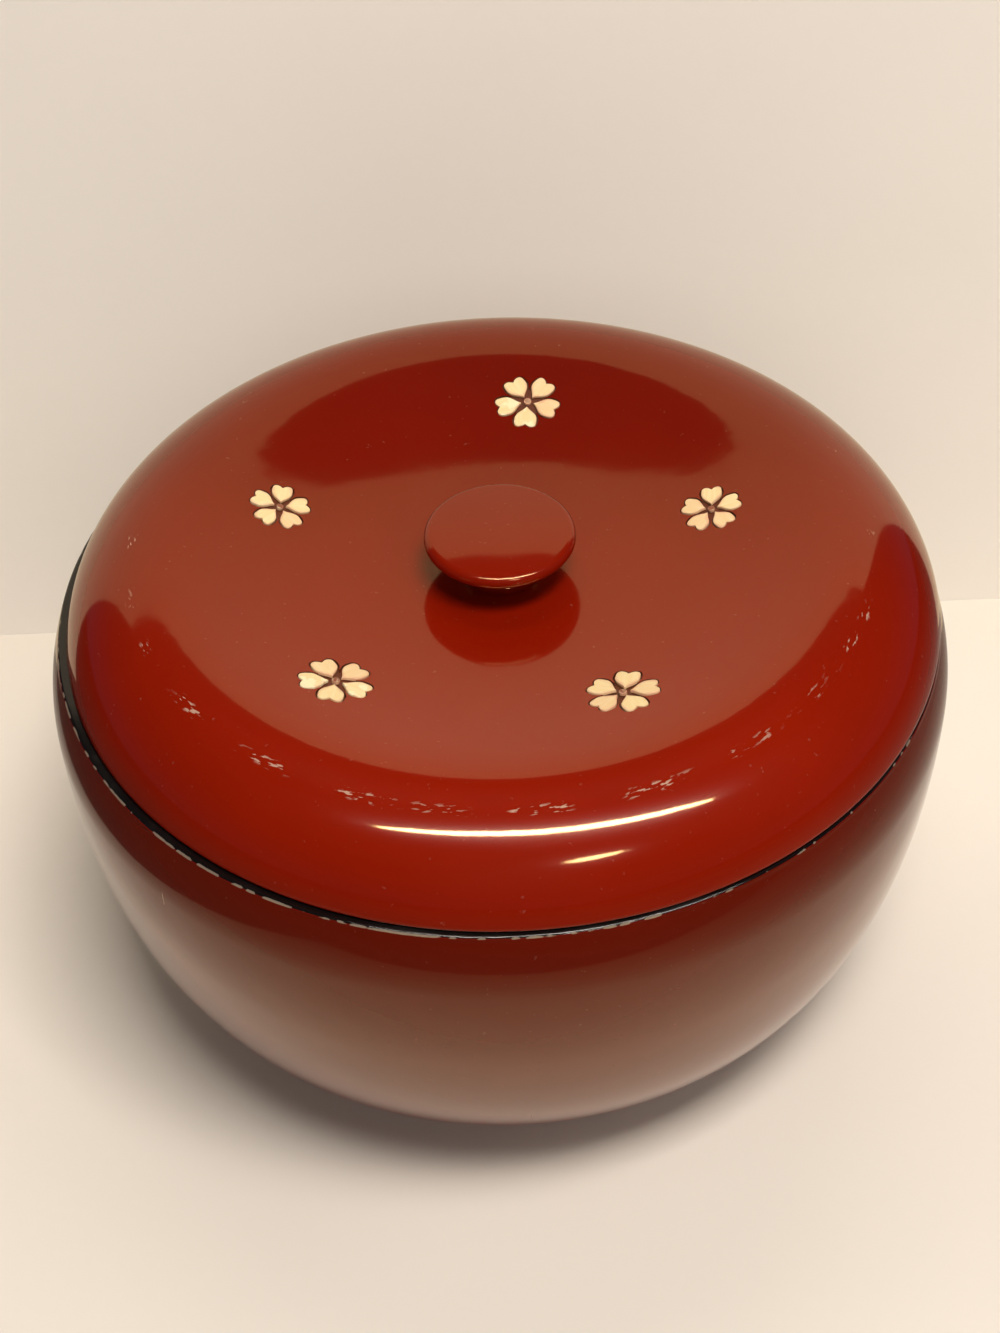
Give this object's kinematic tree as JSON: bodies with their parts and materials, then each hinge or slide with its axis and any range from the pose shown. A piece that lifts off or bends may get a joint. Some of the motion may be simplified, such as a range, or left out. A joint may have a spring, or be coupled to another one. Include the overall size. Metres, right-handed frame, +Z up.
{
  "type": "lidded rice serving bowl",
  "caption": "Round lacquered rice serving bowl on a low foot ring, with a dished lift-off lid, a mushroom knob and cherry blossoms of inlaid shell.",
  "frame": {"origin": "on the table under the middle of the foot ring, on the axis of the bowl", "axes": "+Z up, -Y towards the side seen in the picture, +X to the right as seen from there"},
  "size_m": [0.242, 0.242, 0.1452],
  "materials": {
    "lacquer": "high-gloss vermilion-brown lacquer, black inside and on the rim",
    "shell": "polished cream shell with pink and white flashes"
  },
  "bodies": {
    "bowl": {"bowl_body": "lacquer"},
    "lid": {"lid_shell": "lacquer", "knob": "lacquer", "back_blossom_petal_1": "shell", "back_blossom_petal_2": "shell", "back_blossom_petal_3": "shell", "back_blossom_petal_4": "shell", "back_blossom_petal_5": "shell", "back_blossom_eye": "shell", "left_blossom_petal_1": "shell", "left_blossom_petal_2": "shell", "left_blossom_petal_3": "shell", "left_blossom_petal_4": "shell", "left_blossom_petal_5": "shell", "left_blossom_eye": "shell", "front_left_blossom_petal_1": "shell", "front_left_blossom_petal_2": "shell", "front_left_blossom_petal_3": "shell", "front_left_blossom_petal_4": "shell", "front_left_blossom_petal_5": "shell", "front_left_blossom_eye": "shell", "front_right_blossom_petal_1": "shell", "front_right_blossom_petal_2": "shell", "front_right_blossom_petal_3": "shell", "front_right_blossom_petal_4": "shell", "front_right_blossom_petal_5": "shell", "front_right_blossom_eye": "shell", "right_blossom_petal_1": "shell", "right_blossom_petal_2": "shell", "right_blossom_petal_3": "shell", "right_blossom_petal_4": "shell", "right_blossom_petal_5": "shell", "right_blossom_eye": "shell"}
  },
  "joints": [
    {"name": "lid_lift", "type": "slide", "parent": "bowl", "child": "lid", "axis": [0, 0, 1], "range_m": [0, 0.12]}
  ]
}
